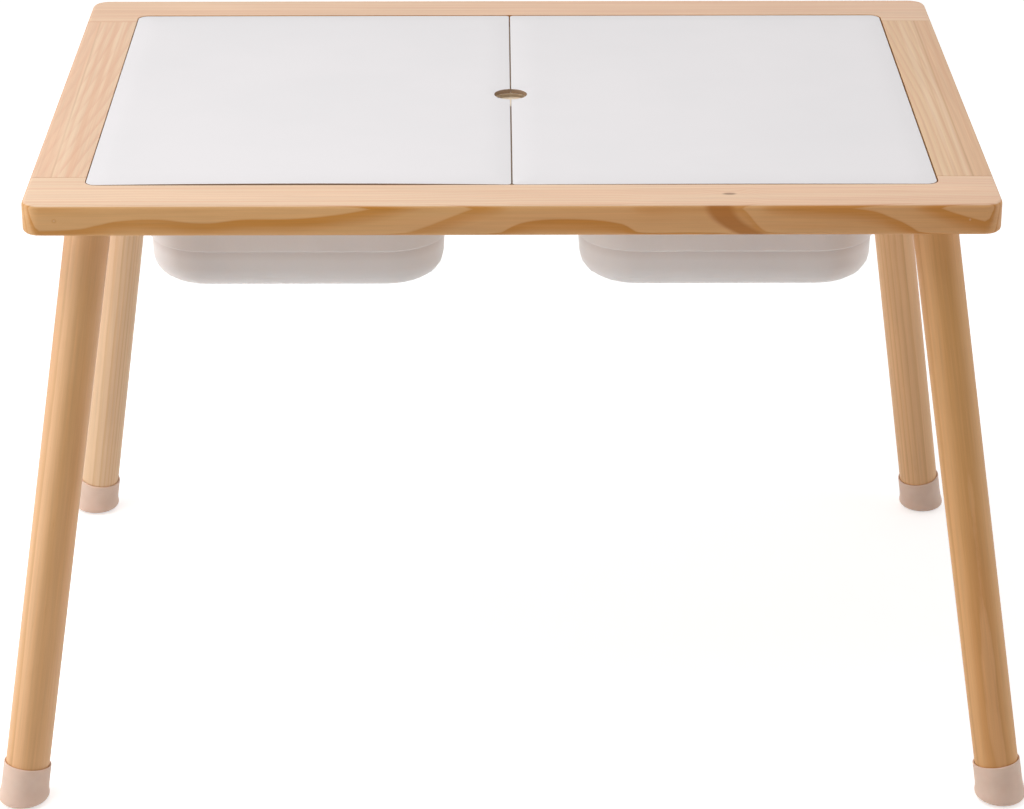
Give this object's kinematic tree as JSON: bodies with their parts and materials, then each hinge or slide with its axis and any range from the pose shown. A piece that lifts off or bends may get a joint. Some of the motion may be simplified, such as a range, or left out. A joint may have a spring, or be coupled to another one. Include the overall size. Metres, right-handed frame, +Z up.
{
  "type": "sensory table",
  "caption": "Low pine play table with splayed legs and soft foot caps; lift-off white lids cover lift-out translucent bins sunk in the top.",
  "frame": {"origin": "on the floor under the middle of the table", "axes": "+X along the table's length to the right as seen from the front, +Y from front to back, +Z up"},
  "size_m": [0.8036, 0.5794, 0.49],
  "materials": {
    "pine": "knot-flecked solid pine, sanded and clear matt lacquered",
    "white_board": "thin fibreboard with a smooth white coating",
    "bin_plastic": "translucent milky polypropylene, satin",
    "cap_silicone": "translucent pinkish silicone, matt",
    "steel": "bright zinc plated",
    "beech": "raw beech dowel rod"
  },
  "bodies": {
    "table": {"front_rail": "pine", "back_rail": "pine", "left_rail": "pine", "right_rail": "pine", "centre_rail": "pine", "dowel_front_left_inner": "beech", "dowel_front_left_outer": "beech", "dowel_front_centre_left": "beech", "dowel_front_right_inner": "beech", "dowel_front_right_outer": "beech", "dowel_front_centre_right": "beech", "dowel_back_left_inner": "beech", "dowel_back_left_outer": "beech", "dowel_back_centre_left": "beech", "dowel_back_right_inner": "beech", "dowel_back_right_outer": "beech", "dowel_back_centre_right": "beech", "leg_front_left": "pine", "leg_front_right": "pine", "leg_back_left": "pine", "leg_back_right": "pine", "leg_cap_front_left": "cap_silicone", "leg_cap_front_right": "cap_silicone", "leg_cap_back_left": "cap_silicone", "leg_cap_back_right": "cap_silicone", "leg_plate_front_left": "steel", "leg_plate_front_right": "steel", "leg_plate_back_left": "steel", "leg_plate_back_right": "steel", "hanger_bolt_front_left": "steel", "hanger_bolt_front_right": "steel", "hanger_bolt_back_left": "steel", "hanger_bolt_back_right": "steel", "plate_screw_front_left_1": "steel", "plate_screw_front_left_2": "steel", "plate_screw_front_left_3": "steel", "plate_screw_front_left_4": "steel", "plate_screw_front_right_1": "steel", "plate_screw_front_right_2": "steel", "plate_screw_front_right_3": "steel", "plate_screw_front_right_4": "steel", "plate_screw_back_left_1": "steel", "plate_screw_back_left_2": "steel", "plate_screw_back_left_3": "steel", "plate_screw_back_left_4": "steel", "plate_screw_back_right_1": "steel", "plate_screw_back_right_2": "steel", "plate_screw_back_right_3": "steel", "plate_screw_back_right_4": "steel"},
    "left_bin": {"bin_left": "bin_plastic"},
    "right_bin": {"bin_right": "bin_plastic"},
    "left_lid": {"lid_left": "white_board"},
    "right_lid": {"lid_right": "white_board"}
  },
  "joints": [
    {"name": "left_bin_lift", "type": "slide", "parent": "table", "child": "left_bin", "axis": [0, 0, 1], "range_m": [0, 0.14]},
    {"name": "right_bin_lift", "type": "slide", "parent": "table", "child": "right_bin", "axis": [0, 0, 1], "range_m": [0, 0.14]},
    {"name": "left_lid_lift", "type": "slide", "parent": "left_bin", "child": "left_lid", "axis": [0, 0, 1], "range_m": [0, 0.2]},
    {"name": "right_lid_lift", "type": "slide", "parent": "right_bin", "child": "right_lid", "axis": [0, 0, 1], "range_m": [0, 0.2]}
  ]
}
